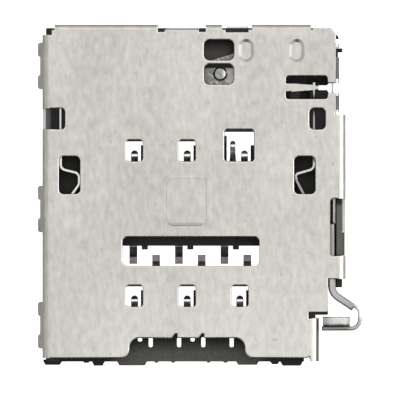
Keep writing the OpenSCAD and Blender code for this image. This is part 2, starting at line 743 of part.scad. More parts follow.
// Seat of the rivet's base, and the hole for its shank
module rivet_room() {
    translate([pivot_x, pivot_y, -past]) cylinder(h = past + rivet_base_t, r = rivet_base_r);
    translate([pivot_x, pivot_y, 0]) cylinder(h = floor_t + past, r = rivet_r);
}

guide_top = slot_top - bend_wide + sheet_t;
boss_in = 0.04;
boss_top = 0.75;
module housing() {
    color(PLASTIC) difference() {
        union() {
            slab([0, floor_t]) floor_outline();
            slab([0, rail_top]) {
                left_rail();
                right_rail();
            }
            box3([guide_in, guide_y[0], 0], [guide_out, guide_y[1], guide_top]);
            box3([guide_in, port_y[0] + fit_gap, 0], [bay_wall_x - boss_in, port_wall_y - fit_gap, boss_top]);
            lugs();
        }
        top_chamfers();
        slab([floor_t, cover_top]) spring_room();
        slab([-past, cover_top]) {
            contact_openings();
            solder_window();
            cut_holes();
            floor_gate();
        }
        rod_room();
        tongue_recess();
        rivet_room();
        for (i = [0:2]) {
            rear_contact(i);
            front_contact(i);
        }
        detect();
    }
}

// CONTACTS

// Sprung beam with its touching point over spot c, pointing to the rear
tip_l = 0.26;
tip_drop = 0.14;
tip_bend = 0.14;
crown = [0.02, 0.04];
neck_l = 0.35;
root_l = 0.35;
root_bend = 0.30;
root_share = 0.8;
module beam(c, w) {
    root = root_share * w;
    touch_z = floor_t + beam_rise - contact_t / 2;
    intersection() {
        along_x([c[0] - 2 * w, c[0] + 2 * w]) translate([c[1], 0]) strip(
            [[-beam_l - root_l, strip_mid], [-beam_l, strip_mid], [crown[0], touch_z + crown[1]],
                [tip_l, touch_z - tip_drop]], [root_bend, tip_bend], contact_t);
        slab([0, cover_top]) {
            translate(c) polygon([[-root, -beam_l - past], [root, -beam_l - past], [root, -beam_l],
                [w / 2, -neck_l], [w / 2, tip_l - w / 2], [-w / 2, tip_l - w / 2], [-w / 2, -neck_l],
                [-root, -beam_l]]);
            translate([c[0], c[1] + tip_l - w / 2]) circle(w / 2);
        }
    }
}

// Flat strip moulded into the floor, along points v
module buried(v, radii, w) {
    slab([strip_mid - contact_t / 2, strip_mid + contact_t / 2]) strip(v, radii, w);
}

// Tail that leaves the moulding at y0 and steps down to a foot that ends at y1
tail_in = 0.10;
tail_bend = 0.10;
module tail(x, y0, y1, slope) {
    way = sign(y1 - y0);
    along_x([x - tail_w / 2, x + tail_w / 2]) strip([[y0 - way * tail_in, strip_mid],
        [y0 + way * slope[0], strip_mid], [y0 + way * slope[1], solder_mid], [y1, solder_mid]],
        [tail_bend, tail_bend], contact_t);
}

// Contact of the rear row: its strip runs forwards in the floor and slants to its tail
rear_root = 0.25;
rear_run = [0.60, 1.50];
rear_bend = 0.30;
lap = 0.01;
rear_foot = 0.24;
rear_slope = [0.04, 0.53];
module rear_contact(i) {
    c = [rear_xs[i], rear_row_y];
    root_y = rear_row_y - beam_l - rear_root;
    leave_y = solder_window_y[1];
    beam(c, beam_w);
    buried([[c[0], root_y], [c[0], root_y - rear_run[0]], [rear_tails[i], root_y - rear_run[1]],
        [rear_tails[i], leave_y - lap]], [rear_bend, rear_bend], tail_w);
    tail(rear_tails[i], leave_y, tail_y - rear_foot, rear_slope);
}

// Contact of the front row: its strip runs round its own opening and back to its tail
front_root = 0.20;
front_side = 0.66;
front_run = [0.75, 0.35];
front_bends = [0.20, 0.15, 0.15];
front_strip_w = 0.28;
front_foot = 0.20;
front_slope = [0.06, 0.34];
module front_contact(i) {
    c = [columns[i], front_row_y];
    root_y = front_row_y - beam_l - front_root;
    leave_y = solder_window_y[0];
    beam(c, beam_w);
    buried([[c[0] - beam_w, root_y], [c[0] + front_side, root_y], [c[0] + front_side, leave_y - front_run[0]],
        [front_tails[i], leave_y - front_run[1]], [front_tails[i], leave_y + lap]],
        front_bends, front_strip_w);
    tail(front_tails[i], leave_y, tail_y + front_foot, front_slope);
}

// Detect contact: its strip runs back in the floor to a wide tail at the rear
detect_w = 0.26;
detect_side = 0.55;
detect_run = [1.40, 2.00];
detect_bend = 0.20;
detect_strip_w = 0.22;
detect_rear_x = 2.32;
detect_tail_x = [1.90, 2.95];
detect_tail_in = [0.30, 0.18, 0.08];
detect_tail_out = 0.12;
detect_tail_bend = 0.07;
module detect() {
    c = [detect_x, detect_y];
    root_y = detect_y - beam_l - front_root;
    beam(c, detect_w);
    buried([[c[0] + detect_w / 2, root_y], [c[0] - detect_side, root_y],
        [c[0] - detect_side, detect_y + detect_run[0]], [detect_rear_x, detect_y + detect_run[1]],
        [detect_rear_x, housing_rear_y - detect_tail_in[1]]],
        [detect_bend, detect_bend, detect_bend], detect_strip_w);
    along_x(detect_tail_x) strip([[housing_rear_y - detect_tail_in[0], strip_mid],
        [housing_rear_y - detect_tail_in[1], strip_mid], [housing_rear_y - detect_tail_in[2], solder_mid],
        [housing_rear_y + detect_tail_out, solder_mid]], [detect_tail_bend, detect_tail_bend], contact_t);
}

module contact_rear_left() { color(TIN) rear_contact(0); }
module contact_rear_mid() { color(TIN) rear_contact(1); }
module contact_rear_right() { color(TIN) rear_contact(2); }
module contact_front_left() { color(TIN) front_contact(0); }
module contact_front_mid() { color(TIN) front_contact(1); }
module contact_front_right() { color(TIN) front_contact(2); }
module detect_contact() { color(TIN) detect(); }

// DETENT SPRINGS

spring_clear = 0.05;
spring_z = [floor_t + spring_clear, slot_top - tongue_drop - spring_clear];
// The left spring's crest is rounder and longer than the right one's
spring_bends = [0.28, 0.30];
crest_bends = [0.26, 0.14];
crest_ahead = [0.16, 0.12];
crest_behind = [0.36, 0.20];
crest_lean = [0.00, 0.06];
shoulder_ahead = 0.38;
tip_over = 0.03;
tip_x = slot_half - detent_reach - tip_over;
free_in = 0.31;
free_behind = 1.20;
module detent_spring(side) {
    i = side < 0 ? 0 : 1;
    points = [[spring_mid, spring_rear_y], [spring_mid, detent_y + shoulder_ahead],
        [tip_x, detent_y + crest_ahead[i]], [tip_x + crest_lean[i], detent_y - crest_behind[i]],
        [spring_mid - free_in, detent_y - free_behind]];
    slab(spring_z) strip([for (p = points) [side * p[0], p[1]]],
        [spring_bends[0], crest_bends[i], spring_bends[1]], spring_t);
}
module left_detent_spring() { color(SPRING_STEEL) detent_spring(-1); }
module right_detent_spring() { color(SPRING_STEEL) detent_spring(1); }

// EJECTOR

// Strip on edge from the lever to the pad, with a stiffening flange from the port to the loop
tab_y = -1.38;
flange_w = 0.36;
flange_fall = 0.08;
flange_slope_l = 2.02;
flange_lap = 0.02;
tab_bend = 0.04;
tab_clear = 0.08;
shelf_z = rod_top - rod_t - tab_clear;
pad_gap = 0.15;
pad_x = mouth_side_x + pad_gap;
pad_flange_in = 0.04;
pad_flange_w = 1.34;
pad_flange = [pad_x + pad_flange_in, pad_x + pad_flange_w];
pad_flange_l = 0.58;
pad_bend = 0.27;
rod_bends = [0.13, 0.55, 0.30, 0.42];
s_bend_y = -4.66;
loop_turn_y = -5.50;
flange_share = 0.80;
module eject_rod() {
    loop_mid = rod_out + loop_out - rod_t / 2;
    rear_mid = rod_rear_y - rod_t / 2;
    top_mid = rod_top - rod_t / 2;
    s_start = [rod_mid, s_bend_y];
    s_end = s_start + flange_share * ([loop_mid, loop_turn_y] - s_start);
    slope_end_y = tab_y - flange_slope_l;
    flange_path = [[rod_mid, slope_end_y + flange_lap], s_start, s_end];
    color(SPRING_STEEL) {
        difference() {
            slab([rod_z, rod_top]) strip([[rod_mid - hook_in, rear_mid], [rod_mid, rear_mid],
                s_start, [loop_mid, loop_turn_y], [loop_mid, pad_y], [pad_x, pad_y]], rod_bends, rod_t);
            box3([rod_mid - hook_in - past, rod_rear_y - past, 0],
                [rail_x + rod_gap, rod_rear_y + past, lever_z]);
            box3([rod_in - past, slope_end_y, rod_top - rod_h / 2], [rod_out + past, tab_y, rod_top + past]);
        }
        along_y([slope_end_y, tab_y]) strip([[rod_mid, rod_z + rod_h / 4], [rod_mid, top_mid - flange_fall],
            [rod_out - flange_w, top_mid]], [rod_t / 2 + tab_bend], rod_t);
        slab([rod_top - rod_t, rod_top]) polygon(concat(side_points(flange_path, [rod_bends[1]], rod_t / 2),
            reverse(side_points(flange_path, [rod_bends[1]], rod_t / 2 - flange_w))));
        along_x(pad_flange) strip([[pad_y, top_mid - rod_h / 2], [pad_y, top_mid],
            [pad_y + pad_flange_l, top_mid]], [pad_bend], rod_t);
    }
}

// Flat lever: hub on the rivet, right arm to the rod, left arm to the tray
module eject_lever() {
    pivot = [pivot_x, pivot_y];
    neck = nose + [0, neck_step];
    color(SPRING_STEEL) slab([lever_z, lever_z + lever_t]) difference() {
        union() {
            for (e = [[pivot, hub_r], [elbow, elbow_r], [nose, nose_r], [tip, tip_r]])
                translate(e[0]) circle(e[1]);
            link(pivot, hub_r, elbow, elbow_r);
            link(elbow, elbow_r, neck, neck_r);
            link(pivot, hub_r, tip, tip_r);
        }
        translate(pivot) circle(rivet_r + lever_gap);
    }
}

// Rivet: base under the floor, shank through the lever, chamfered head
rivet_base_r = 0.50;
rivet_base_t = 0.10;
rivet_head_r = 0.335;
rivet_head_t = 0.20;
rivet_chamfer = 0.08;
module lever_rivet() {
    head_z = lever_z + lever_t + lever_gap;
    color(SPRING_STEEL) translate([pivot_x, pivot_y, 0]) rotate_extrude() polygon([[0, 0], [rivet_base_r, 0],
        [rivet_base_r, rivet_base_t], [rivet_r, rivet_base_t], [rivet_r, head_z], [rivet_head_r, head_z],
        [rivet_head_r, head_z + rivet_head_t - rivet_chamfer],
        [rivet_head_r - rivet_chamfer, head_z + rivet_head_t], [0, head_z + rivet_head_t]]);
}

cover_shell();
housing();
contact_rear_left();
contact_rear_mid();
contact_rear_right();
contact_front_left();
contact_front_mid();
contact_front_right();
detect_contact();
left_detent_spring();
right_detent_spring();
eject_rod();
eject_lever();
lever_rivet();
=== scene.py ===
"""Looks of a board-mounted card tray socket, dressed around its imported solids.

Every length is in metres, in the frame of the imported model: X across the tray, Y from the mouth to the rear,
Z up from the board. Names that end in _mm, and the zones of the finishes, are in millimetres. Patterns are
carried on Object coordinates, so they stay on a piece when it moves.
"""

from __future__ import annotations

import logging
import math
from dataclasses import dataclass
from enum import Enum

import bpy
import numpy as np
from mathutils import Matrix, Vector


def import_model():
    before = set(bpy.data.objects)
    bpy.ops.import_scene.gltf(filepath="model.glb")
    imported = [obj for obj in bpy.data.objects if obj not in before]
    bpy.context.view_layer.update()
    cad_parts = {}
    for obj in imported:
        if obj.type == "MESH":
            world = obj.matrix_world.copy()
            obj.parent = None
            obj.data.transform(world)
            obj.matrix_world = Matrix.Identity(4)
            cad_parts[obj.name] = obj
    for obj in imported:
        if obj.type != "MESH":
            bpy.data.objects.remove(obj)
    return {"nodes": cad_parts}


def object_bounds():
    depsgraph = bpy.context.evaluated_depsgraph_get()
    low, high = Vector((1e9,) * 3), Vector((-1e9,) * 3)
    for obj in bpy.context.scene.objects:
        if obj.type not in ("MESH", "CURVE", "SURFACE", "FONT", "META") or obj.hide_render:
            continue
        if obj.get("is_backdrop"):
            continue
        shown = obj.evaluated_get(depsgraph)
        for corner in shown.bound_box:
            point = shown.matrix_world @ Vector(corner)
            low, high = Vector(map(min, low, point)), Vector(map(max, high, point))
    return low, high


LOG = logging.getLogger("card_socket")
MM = 0.001

# Marks on the meshes
EDGE_WEIGHT = "bevel_weight_edge"
EDGE_SLACK = 1e-6
LEVEL_NORMAL = 0.999
CUT_Z_MM = (1.0, 1.15)
MERGE_MM = 0.0005
FLAT_DEG = 0.6
ROUNDED_DEG = 50.0

# The part of a noise's range that mixes two tones, and the part that drives roughness
TONE_SPAN = (0.35, 0.65)
GLOSS_SPAN = (0.3, 0.7)

Colour = tuple[float, float, float]
Triple = tuple[float, float, float]
Pair = tuple[float, float]
Socket = bpy.types.NodeSocket


@dataclass(frozen=True)
class Rounding:
    """How a piece's edges are rounded.

    Attributes:
        width_mm: width of the rounding.
        segments: number of faces across it.
        above_mm: only edges higher than this are rounded.
        level: whether only level edges are rounded.
        sharp_deg: angle between faces from which on an edge shades as sharp.
    """

    width_mm: float
    segments: int
    above_mm: float
    level: bool
    sharp_deg: float


class EdgeForm(Enum):
    """How a piece's edges were made."""

    DIE_ROLLED = Rounding(0.065, 4, 1.34, True, 30.0)
    TUMBLED = Rounding(0.080, 4, 0.90, True, 30.0)
    MOULDED = Rounding(0.022, 2, 0.29, True, 24.0)
    SHEARED = Rounding(0.018, 2, -1.0, False, 12.0)
    TURNED = Rounding(0.030, 3, -1.0, False, 36.0)


class Axis(Enum):
    """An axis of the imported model, by its place in a coordinate."""

    X = 0
    Y = 1
    Z = 2


@dataclass
class Nodes:
    """A node tree, with short calls for what all the trees here need."""

    tree: bpy.types.NodeTree

    def add(self, kind: str, **settings: object) -> bpy.types.Node:
        """Adds a node.

        Args:
            kind: the node's type name.
            **settings: properties that are set on it.

        Returns:
            The new node.
        """
        node = self.tree.nodes.new(kind)
        for name, value in settings.items():
            setattr(node, name, value)
        return node

    def link(self, source: Socket, target: Socket) -> None:
        """Links an output to an input."""
        self.tree.links.new(source, target)

    def part(self, vector: Socket, axis: Axis) -> Socket:
        """A vector's part along an axis."""
        parts = self.add("ShaderNodeSeparateXYZ")
        self.link(vector, parts.inputs[0])
        return parts.outputs[axis.value]

    def spread(self, value: Socket, span: Pair, to: Pair = (0.0, 1.0)) -> Socket:
        """Maps a value's span to the range to, and holds it at the ends."""
        node = self.add("ShaderNodeMapRange", clamp=True)
        for name, number in zip(("From Min", "From Max", "To Min", "To Max"), (*span, *to)):
            node.inputs[name].default_value = number
        self.link(value, node.inputs["Value"])
        return node.outputs["Result"]

    def math(self, operation: str, first: Socket, second: Socket | None = None) -> Socket:
        """Works out an operation on one or two values."""
        node = self.add("ShaderNodeMath", operation=operation)
        self.link(first, node.inputs[0])
        if second is not None:
            self.link(second, node.inputs[1])
        return node.outputs[0]


@dataclass
class Graph(Nodes):
    """Node tree of one material."""

    material: bpy.types.Material

    @property
    def shader(self) -> bpy.types.ShaderNode:
        """The material's principled shader."""
        return self.tree.nodes["Principled BSDF"]

    def place(self, axis: Axis) -> Socket:
        """The Object coordinate along an axis, in metres."""
        return self.part(self.add("ShaderNodeTexCoord").outputs["Object"], axis)

    def noise(self, per_mm: Triple, detail: float = 3.0, turn_deg: float = 0.0) -> Socket:
        """Noise on Object coordinates.

        Args:
            per_mm: cells in a millimetre along X, Y and Z.
            detail: number of octaves.
            turn_deg: how far the pattern is turned about Z.

        Returns:
            The noise's value, about 0.5 on average.
        """
        place = self.add("ShaderNodeTexCoord")
        turn = self.add("ShaderNodeMapping", vector_type="TEXTURE")
        turn.inputs["Rotation"].default_value = (0.0, 0.0, math.radians(turn_deg))
        turn.inputs["Scale"].default_value = [MM / cells for cells in per_mm]
        pattern = self.add("ShaderNodeTexNoise")
        pattern.inputs["Scale"].default_value = 1.0
        pattern.inputs["Detail"].default_value = detail
        self.link(place.outputs["Object"], turn.inputs["Vector"])
        self.link(turn.outputs["Vector"], pattern.inputs["Vector"])
        return pattern.outputs["Fac"]

    def zone(self, axis: Axis, span_mm: Pair, soft_mm: float) -> Socket:
        """A mask that is 1 between two places along an axis and fades over a soft edge."""
        place = self.place(axis)
        low, high = (end * MM for end in span_mm)
        soft = soft_mm * MM
        rise = self.spread(place, (low - soft, low + soft))
        fall = self.spread(place, (high - soft, high + soft), (1.0, 0.0))
        return self.math("MULTIPLY", rise, fall)

    def area(self, x_mm: Pair, y_mm: Pair, soft_mm: float) -> Socket:
        """A mask that is 1 in a rectangle of the plan and fades over a soft edge."""
        return self.math("MULTIPLY", self.zone(Axis.X, x_mm, soft_mm), self.zone(Axis.Y, y_mm, soft_mm))

    def mix(self, share: Socket, first: Colour | Socket, second: Colour | Socket) -> Socket:
        """Mixes two colours by a share from 0 to 1."""
        node = self.add("ShaderNodeMix", data_type="RGBA")
        self.link(share, node.inputs[0])
        for socket, colour in ((node.inputs[6], first), (node.inputs[7], second)):
            if isinstance(colour, bpy.types.NodeSocket):
                self.link(colour, socket)
            else:
                socket.default_value = (*colour, 1.0)
        return node.outputs[2]

    def dress(self, colour: Socket, roughness: Socket, height: Socket, depth_mm: float) -> bpy.types.Material:
        """Links the shader's inputs.

        Args:
            colour: the base colour.
            roughness: the roughness.
            height: a pattern from 0 to 1 that makes the bump.
            depth_mm: depth of the bump.

        Returns:
            The finished material.
        """
        bump = self.add("ShaderNodeBump")
        bump.inputs["Distance"].default_value = depth_mm * MM
        self.link(height, bump.inputs["Height"])
        self.link(colour, self.shader.inputs["Base Color"])
        self.link(roughness, self.shader.inputs["Roughness"])
        self.link(bump.outputs["Normal"], self.shader.inputs["Normal"])
        return self.material


@dataclass(frozen=True)
class Patch:
    """A zone of a surface with a tone of its own; here most patches are painted light or painted shade.

    Attributes:
        x_mm: where it starts and ends across.
        y_mm: where it starts and ends along.
        soft_mm: half the width over which its edge fades.
        colour: its tone.
    """

    x_mm: Pair
    y_mm: Pair
    soft_mm: float
    colour: Colour

    def lay(self, graph: Graph, ground: Socket) -> Socket:
        """Mixes the patch over the colour around it."""
        return graph.mix(graph.area(self.x_mm, self.y_mm, self.soft_mm), ground, self.colour)


@dataclass(frozen=True)
class Finish:
    """A grained finish: the grain mixes two tones and drives roughness and bump.

    Attributes:
        name: the material's name.
        light: the lighter tone.
        dark: the darker tone.
        roughness: least and greatest roughness.
        grain: the grain's cells in a millimetre along X, Y and Z.
        bump_mm: depth of the bump.
        metallic: 1 for metal, 0 for plastic.
        specular: level of the plain reflection.
        patches: zones with tones of their own, the last on top.
    """

    name: str
    light: Colour
    dark: Colour
    roughness: Pair
    grain: Triple
    bump_mm: float
    metallic: float = 1.0
    specular: float = 0.5
    patches: tuple[Patch, ...] = ()

    def start(self) -> Graph:
        """Makes the material and sets what is the same all over it.

        Returns:
            The material's graph.
        """
        material = bpy.data.materials.new(self.name)
        material.use_nodes = True
        graph = Graph(material.node_tree, material)
        graph.shader.inputs["Metallic"].default_value = self.metallic
        graph.shader.inputs["Specular IOR Level"].default_value = self.specular
        return graph

    def tone(self, graph: Graph, grain: Socket) -> Socket:
        """The colour under the patches: the grain mixes the two tones."""
        return graph.mix(graph.spread(grain, TONE_SPAN), self.dark, self.light)

    def patched(self, graph: Graph, colour: Socket) -> Socket:
        """Lays the finish's patches over a colour."""
        for patch in self.patches:
            colour = patch.lay(graph, colour)
        return colour

    def material(self) -> bpy.types.Material:
        """Makes the finish.

        Returns:
            The new material.
        """
        graph = self.start()
        grain = graph.noise(self.grain)
        colour = self.patched(graph, self.tone(graph, grain))
        return graph.dress(colour, graph.spread(grain, GLOSS_SPAN, self.roughness), grain, self.bump_mm)


@dataclass(frozen=True)
class RolledSheet(Finish):
    """Cold-rolled sheet: blotches and bright streaks along the rolling direction, clouds and dull specks, and
    a painted light that makes it lighter towards the front and the right.
    """

    blotch_span: Pair = (0.30, 0.70)
    blotch_share: float = 0.44
    streak: Triple = (5.2, 1.7, 5.2)
    streak_turn: float = 4.0
    streak_span: Pair = (0.35, 0.72)
    streak_share: float = 0.28
    cloud: Triple = (0.45, 0.22, 0.45)
    cloud_span: Pair = (0.35, 0.65)
    cloud_share: float = 0.26
    speck: Triple = (3.4, 2.4, 3.4)
    speck_span: Pair = (0.70, 0.77)
    speck_share: float = 0.50
    speck_colour: Colour = (0.31, 0.30, 0.28)
    # Painted light: the share of the light tone grows towards the front and towards the right.
    lit_front_y: Pair = (-7.0, -2.5)
    lit_front_share: float = 0.26
    lit_right_x: Pair = (-2.5, 4.0)
    lit_right_share: float = 0.06

    def material(self) -> bpy.types.Material:
        """Makes the sheet: blotches, streaks and clouds add up to the share of the light tone, a painted light
        adds to that share towards the front and the right, and specks darken it.

        Returns:
            The new material.
        """
        graph = self.start()
        blotch = graph.noise(self.grain, detail=2.0)
        streak = graph.noise(self.streak, detail=2.0, turn_deg=self.streak_turn)
        cloud = graph.noise(self.cloud)
        share = graph.spread(blotch, self.blotch_span, (0.0, self.blotch_share))
        for value, span, ends in (
            (streak, self.streak_span, (0.0, self.streak_share)),
            (cloud, self.cloud_span, (0.0, self.cloud_share)),
            (graph.place(Axis.Y), [end * MM for end in self.lit_front_y], (self.lit_front_share, 0.0)),
            (graph.place(Axis.X), [end * MM for end in self.lit_right_x], (0.0, self.lit_right_share)),
        ):
            share = graph.math("ADD", share, graph.spread(value, span, ends))
        sheet = graph.mix(share, self.dark, self.light)
        dull = graph.spread(graph.noise(self.speck, detail=1.0), self.speck_span, (0.0, self.speck_share))
        colour = self.patched(graph, graph.mix(dull, sheet, self.speck_colour))
        return graph.dress(colour, graph.spread(blotch, GLOSS_SPAN, self.roughness), streak, self.bump_mm)


@dataclass(frozen=True)
class MouldedPlastic(Finish):
    """Black moulding; the rough land before the mouth is matt grey, and its lighter tone there is partly
    painted light, as the land lies open while the inside lies in shade.
    """

    land_x: Pair = (-3.5, 3.7)
    land_y: Pair = (-9.0, -7.28)
    land_soft: float = 0.30
    # The land's tones: partly the matt moulding's own grey, partly painted light.
    land_light: Colour = (0.072, 0.070, 0.064)
    land_dark: Colour = (0.048, 0.047, 0.043)

    def tone(self, graph: Graph, grain: Socket) -> Socket:
        """The colour under the patches: the land before the mouth takes its own two tones, lighter partly as
        painted light.
        """
        land = graph.mix(graph.spread(grain, TONE_SPAN), self.land_dark, self.land_light)
        area = graph.area(self.land_x, self.land_y, self.land_soft)
        return graph.mix(area, super().tone(graph, grain), land)


@dataclass(frozen=True)
class PlatedStrip(Finish):
    """Bright plated contact strip, darker and mottled on the solder tails."""

    tail_y: Pair = (-3.55, -2.35)
    tail_soft: float = 0.03
    tail_light: Colour = (0.160, 0.156, 0.149)
    tail_dark: Colour = (0.105, 0.102, 0.097)
    mottle: Triple = (7.0, 7.0, 7.0)
    mottle_span: Pair = (0.40, 0.62)

    def tone(self, graph: Graph, grain: Socket) -> Socket:
        """The colour under the patches: the tails' zone takes a darker, mottled tone."""
        mottle = graph.spread(graph.noise(self.mottle, detail=2.0), self.mottle_span)
        tail_tone = graph.mix(mottle, self.tail_dark, self.tail_light)
        return graph.mix(graph.zone(Axis.Y, self.tail_y, self.tail_soft), super().tone(graph, grain), tail_tone)


@dataclass(frozen=True)
class RubbedSteel(Finish):
    """Dull steel with rubbed scratches in two directions."""

    turns: Pair = (58.0, -24.0)
    scratch: Triple = (9.0, 1.6, 5.0)
    scratch_span: Pair = (0.60, 0.70)
    scratch_share: float = 0.75
    scratch_colour: Colour = (0.55, 0.54, 0.52)

    def tone(self, graph: Graph, grain: Socket) -> Socket:
        """The colour under the patches: a mottled ground under two sets of light scratches."""
        colour = super().tone(graph, grain)
        for turn in self.turns:
            lines = graph.noise(self.scratch, detail=1.0, turn_deg=turn)
            lines = graph.spread(lines, self.scratch_span, (0.0, self.scratch_share))
            colour = graph.mix(lines, colour, self.scratch_colour)
        return colour


# Finishes of the cover
# A darker tone on the feet along the left side.
DARKER_LEFT_FEET = Patch((-8.0, -7.0), (-9.0, 9.0), 0.05, (0.215, 0.212, 0.205))
# Painted shade: a darker band along the foot of the raised panel.
PANEL_FOOT_SHADE = Patch((-0.95, 0.75), (-1.45, -1.31), 0.05, (0.315, 0.302, 0.285))
# Painted shade: a darker tone that dims the highlight on the panel's right slope.
PANEL_SIDE_SHADE = Patch((0.84, 0.95), (-1.40, 0.86), 0.02, (0.335, 0.322, 0.303))
# Painted shade: a darker tone on the fold beside the mouth.
MOUTH_FOLD_SHADE = Patch((6.21, 7.0), (-8.2, -5.8), 0.03, (0.17, 0.167, 0.16))
# Painted shade: darker tones that dim the light on the dimples' flanks.
LEFT_DIMPLE_FLANK_SHADE = Patch((2.47, 2.62), (6.55, 7.40), 0.02, (0.385, 0.372, 0.352))
RIGHT_DIMPLE_FLANK_SHADE = Patch((4.91, 5.04), (6.55, 7.40), 0.02, (0.360, 0.348, 0.330))
# Painted shade: a darker tone that dims the highlight on the port's left rim.
PORT_RIM_SHADE = Patch((6.70, 6.95), (-3.2, -0.1), 0.03, (0.27, 0.262, 0.25))
COVER_SHEET = RolledSheet(
    "cover_rolled_steel", (0.531, 0.510, 0.482), (0.332, 0.319, 0.300), (0.30, 0.42), (3.0, 1.9, 3.0), 0.0010,
    patches=(DARKER_LEFT_FEET, PANEL_FOOT_SHADE, PANEL_SIDE_SHADE, MOUTH_FOLD_SHADE, LEFT_DIMPLE_FLANK_SHADE, RIGHT_DIMPLE_FLANK_SHADE))
# The rims' tone is partly the smoother rolled metal and partly a painted highlight, lighter than the sheet.
COVER_EDGE_SHEEN = Finish(
    "cover_rolled_edge", (0.54, 0.525, 0.505), (0.45, 0.44, 0.42), (0.18, 0.30), (14.0, 14.0, 14.0), 0.0006,
    patches=(PORT_RIM_SHADE,))
COVER_CUT = Finish(
    "cover_sheared_edge", (0.22, 0.215, 0.205), (0.12, 0.117, 0.11), (0.40, 0.55), (12.0, 12.0, 12.0), 0.0020)

# Finish of the housing
# Painted light: a lighter tone where light falls on the floor under the lever's window.
LEVER_BAY_LIGHT = Patch((0.5, 2.1), (6.3, 7.2), 0.25, (0.080, 0.077, 0.071))
# Painted light: a lighter tone on the rod's guide in the port.
ROD_GUIDE_LIGHT = Patch((7.0, 7.7), (-2.9, -0.45), 0.10, (0.090, 0.088, 0.082))
# Painted light: a lighter strip on the rail top in the left notch.
LEFT_NOTCH_LIGHT = Patch((-6.90, -6.61), (3.1, 4.2), 0.05, (0.090, 0.088, 0.083))
# Painted shade: a near-black tone down in the left spring's hole.
LEFT_RAIL_SHADE = Patch((-6.54, -5.6), (3.0, 4.4), 0.04, (0.003, 0.0029, 0.0026))
# Painted shade: a near-black tone down in the right spring's window.
RIGHT_RAIL_SHADE = Patch((5.8, 6.9), (3.0, 5.6), 0.05, (0.003, 0.0029, 0.0026))
# Painted light: lighter bands where light falls along the rear contact windows' edges.
REAR_WEBS_LIGHT = Patch((-3.3, 3.4), (2.55, 3.2), 0.04, (0.095, 0.093, 0.088))
# Painted light: lighter bands where light falls along the front contact windows' edges.
FRONT_WEBS_LIGHT = Patch((-3.3, 3.4), (-4.45, -4.1), 0.04, (0.095, 0.093, 0.088))
# Painted light: a lighter tone on the floor under the tongue.
TONGUE_FLOOR_LIGHT = Patch((4.98, 5.42), (4.62, 5.05), 0.08, (0.075, 0.073, 0.068))
# Painted light: a pale tone on the rear chamfer.
REAR_CHAMFER_LIGHT = Patch((-1.02, 0.58), (7.975, 8.052), 0.004, (0.30, 0.295, 0.285))
HOUSING_PLASTIC = MouldedPlastic(
    "housing_black_moulding", (0.017, 0.0163, 0.0145), (0.010, 0.0096, 0.0086), (0.45, 0.62), (9.0, 9.0, 9.0),
    0.0016, metallic=0.0, specular=0.18,
    patches=(LEVER_BAY_LIGHT, ROD_GUIDE_LIGHT, LEFT_NOTCH_LIGHT, REAR_WEBS_LIGHT, FRONT_WEBS_LIGHT, RIGHT_RAIL_SHADE, LEFT_RAIL_SHADE, TONGUE_FLOOR_LIGHT,
             REAR_CHAMFER_LIGHT))

# Finishes of the contacts and springs
# Painted shade: a dark tone on the front row's contact tips.
FRONT_TIPS_SHADE = Patch((-3.4, 3.4), (-5.00, -4.70), 0.02, (0.050, 0.049, 0.047))
CONTACT_PLATING = PlatedStrip(
    "contact_satin_plating", (0.66, 0.645, 0.62), (0.52, 0.51, 0.49), (0.22, 0.34), (12.0, 3.0, 12.0), 0.0006,
    patches=(FRONT_TIPS_SHADE,))
# Painted highlight: an even, lighter tone on the left spring's click.
LEFT_CLICK_HIGHLIGHT = Patch((-6.4, -5.0), (-0.2, 2.1), 0.10, (0.52, 0.51, 0.495))
# Painted shade: a darker tone on the right spring's click.
RIGHT_CLICK_SHADE = Patch((5.0, 6.8), (-0.2, 0.9), 0.15, (0.23, 0.225, 0.215))
# Painted shade on the right spring's shoulder.
RIGHT_SHOULDER_SHADE = Patch((5.8, 6.8), (1.62, 2.40), 0.10, (0.10, 0.098, 0.094))
# Painted shade on the right spring's shank.
RIGHT_SHANK_SHADE = Patch((5.5, 6.8), (2.9, 4.4), 0.20, (0.26, 0.255, 0.245))
# Painted shadow on the end of the right spring's shank, under the window's rim.
RIGHT_SHANK_END_SHADOW = Patch((5.5, 6.8), (3.93, 4.90), 0.20, (0.020, 0.0196, 0.019))
SPRING_STRIP = Finish(
    "spring_bright_strip", (0.50, 0.49, 0.475), (0.42, 0.41, 0.40), (0.18, 0.30), (14.0, 3.0, 4.0), 0.0006,
    patches=(LEFT_CLICK_HIGHLIGHT, RIGHT_CLICK_SHADE, RIGHT_SHOULDER_SHADE, RIGHT_SHANK_SHADE, RIGHT_SHANK_END_SHADOW))

# Finishes of the ejector
# Painted shade on the rod's flange in the port.
FLANGE_SHADE = Patch((6.7, 7.3), (-3.1, -1.30), 0.10, (0.135, 0.133, 0.128))
# Painted shade on the push pad.
PAD_SHADE = Patch((6.2, 6.88), (-6.75, -5.40), 0.25, (0.26, 0.255, 0.246))
# Painted shade along the rod's front end.
ROD_FRONT_SHADE = Patch((6.3, 7.95), (-6.70, -6.28), 0.04, (0.105, 0.103, 0.098))
# Painted shade on the rod's bend.
BEND_SHADE = Patch((7.80, 9.0), (-6.70, -5.95), 0.15, (0.36, 0.352, 0.34))
# Painted shade on the rod's arm.
ARM_SHADE = Patch((6.6, 7.7), (-5.25, -3.90), 0.15, (0.35, 0.343, 0.33))
# Painted shade on the rod's waist.
WAIST_SHADE = Patch((7.25, 8.20), (-5.60, -5.05), 0.14, (0.30, 0.294, 0.284))
# Painted highlight on the rod's hook.
HOOK_HIGHLIGHT = Patch((8.10, 9.0), (-5.95, -4.0), 0.15, (0.72, 0.71, 0.69))
# Painted highlight on the rod's rear end.
ROD_REAR_HIGHLIGHT = Patch((6.8, 7.3), (4.7, 5.7), 0.10, (0.95, 0.94, 0.92))
